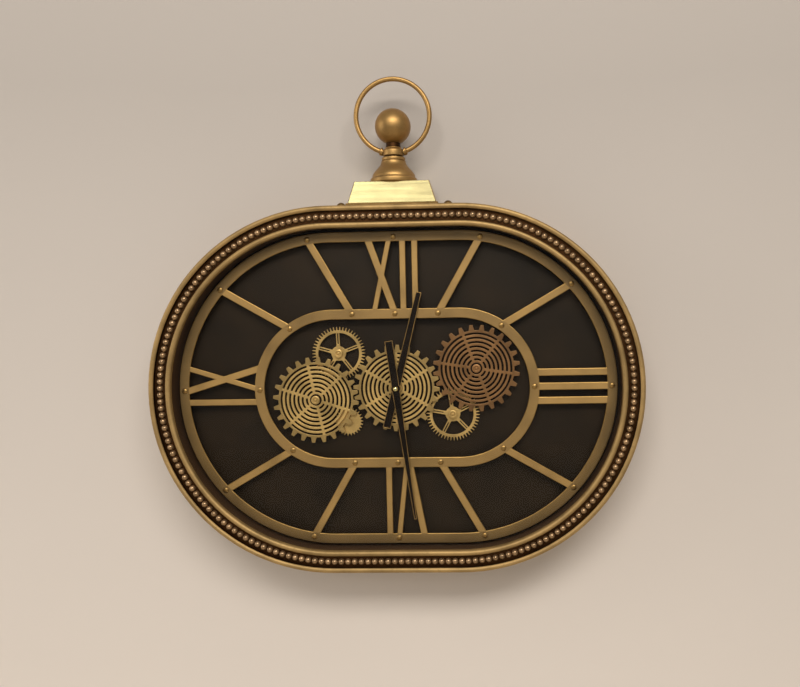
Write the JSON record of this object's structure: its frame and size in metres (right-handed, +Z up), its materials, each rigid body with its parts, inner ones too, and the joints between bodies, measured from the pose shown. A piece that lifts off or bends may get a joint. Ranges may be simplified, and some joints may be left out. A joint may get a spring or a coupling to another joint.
{
  "type": "gear wall clock",
  "caption": "Stadium-shaped wall clock with a beaded bezel, an open Roman dial frame over a turning train of show gears, dark hands, and a turned finial with a swinging bow ring.",
  "frame": {"origin": "on the wall plane, behind the hands' axis", "axes": "+X to the right seen from the front, +Y into the wall, +Z up; the dial faces -Y"},
  "size_m": [0.54, 0.0702, 0.5455],
  "materials": {
    "antique_gold": "satin antique gold",
    "bead_bronze": "bronze beads",
    "polished_brass": "polished",
    "satin_brass": "satin, antiqued",
    "gear_gold": "satin gold",
    "copper": "satin copper gold",
    "dark_bronze": "dark bronze",
    "steel": "plain",
    "black_board": "black painted board",
    "black_paint": "matt black",
    "black_plastic": "moulded",
    "cell_wrap": "plain wrap",
    "clear_glass": "clear"
  },
  "bodies": {
    "case": {"case_band": "antique_gold", "back_panel": "black_board", "liner_band": "black_paint", "glass": "clear_glass", "bezel": "antique_gold", "bead_wire": "bead_bronze", "dial_frame": "satin_brass", "dial_post_01": "dark_bronze", "dial_post_02": "dark_bronze", "dial_post_03": "dark_bronze", "dial_post_04": "dark_bronze", "dial_post_05": "dark_bronze", "dial_post_06": "dark_bronze", "dial_post_07": "dark_bronze", "dial_post_08": "dark_bronze", "dial_post_09": "dark_bronze", "dial_post_10": "dark_bronze", "dial_post_11": "dark_bronze", "dial_post_12": "dark_bronze", "left_post": "polished_brass", "right_post": "polished_brass", "upper_post": "polished_brass", "lower_post": "polished_brass", "gear_motor": "steel", "movement_case": "black_plastic", "movement_cell": "cell_wrap", "movement_bush": "steel", "bush_nut": "steel", "centre_collar": "gear_gold", "motor_cell_holder": "black_plastic", "motor_cell": "cell_wrap", "wall_hanger": "steel", "hanger_screw_left": "steel", "hanger_screw_right": "steel", "plinth_saddle": "antique_gold", "plinth_screw_left": "dark_bronze", "plinth_screw_right": "dark_bronze", "plinth": "polished_brass", "finial_pedestal": "antique_gold", "finial_ball": "antique_gold"},
    "bow": {"bow_ring": "antique_gold"},
    "minute": {"minute_arbor": "steel", "minute_hand": "dark_bronze", "hand_nut": "polished_brass"},
    "hour": {"hour_tube": "steel", "hour_hand": "dark_bronze"},
    "knob": {"set_knob": "black_plastic"},
    "centre_train": {"centre_gear": "gear_gold", "centre_wheel": "dark_bronze"},
    "left_train": {"left_gear": "gear_gold", "left_wheel": "dark_bronze"},
    "right_train": {"right_gear": "copper", "right_wheel": "dark_bronze"},
    "upper_train": {"upper_wheel": "gear_gold"},
    "lower_train": {"lower_wheel": "gear_gold"},
    "pinion": {"drive_pinion": "gear_gold"}
  },
  "joints": [
    {"name": "bow_swing", "type": "hinge", "parent": "case", "child": "bow", "pos_m": [0, -0.0316, 0.26165], "axis": [1, 0, 0], "range_deg": [-20, 110]},
    {"name": "minute_turn", "type": "hinge", "parent": "case", "child": "minute", "pos_m": [0, 0, 0], "axis": [0, 1, 0], "continuous": true},
    {"name": "hour_turn", "type": "hinge", "parent": "case", "child": "hour", "pos_m": [0, 0, 0], "axis": [0, 1, 0], "continuous": true},
    {"name": "knob_turn", "type": "hinge", "parent": "case", "child": "knob", "pos_m": [0.012, 0, 0.012], "axis": [0, 1, 0], "continuous": true},
    {"name": "centre_spin", "type": "hinge", "parent": "case", "child": "centre_train", "pos_m": [0, 0, 0], "axis": [0, 1, 0], "continuous": true},
    {"name": "left_spin", "type": "hinge", "parent": "case", "child": "left_train", "pos_m": [-0.0904, 0, -0.01206], "axis": [0, 1, 0], "continuous": true},
    {"name": "right_spin", "type": "hinge", "parent": "case", "child": "right_train", "pos_m": [0.08883, 0, 0.02067], "axis": [0, 1, 0], "continuous": true},
    {"name": "upper_spin", "type": "hinge", "parent": "case", "child": "upper_train", "pos_m": [-0.06429, 0, 0.03917], "axis": [0, 1, 0], "continuous": true},
    {"name": "lower_spin", "type": "hinge", "parent": "case", "child": "lower_train", "pos_m": [0.06183, 0, -0.0301], "axis": [0, 1, 0], "continuous": true},
    {"name": "pinion_spin", "type": "hinge", "parent": "case", "child": "pinion", "pos_m": [-0.0546, 0, -0.03713], "axis": [0, 1, 0], "continuous": true}
  ],
  "couplings": [
    {"joint": "hour_turn", "follows": "minute_turn", "ratio": 0.083333},
    {"joint": "knob_turn", "follows": "minute_turn", "ratio": -0.33333},
    {"joint": "left_spin", "follows": "centre_spin", "ratio": -1},
    {"joint": "right_spin", "follows": "centre_spin", "ratio": -1},
    {"joint": "upper_spin", "follows": "centre_spin", "ratio": 1},
    {"joint": "lower_spin", "follows": "centre_spin", "ratio": 1},
    {"joint": "pinion_spin", "follows": "centre_spin", "ratio": 1.9231}
  ]
}
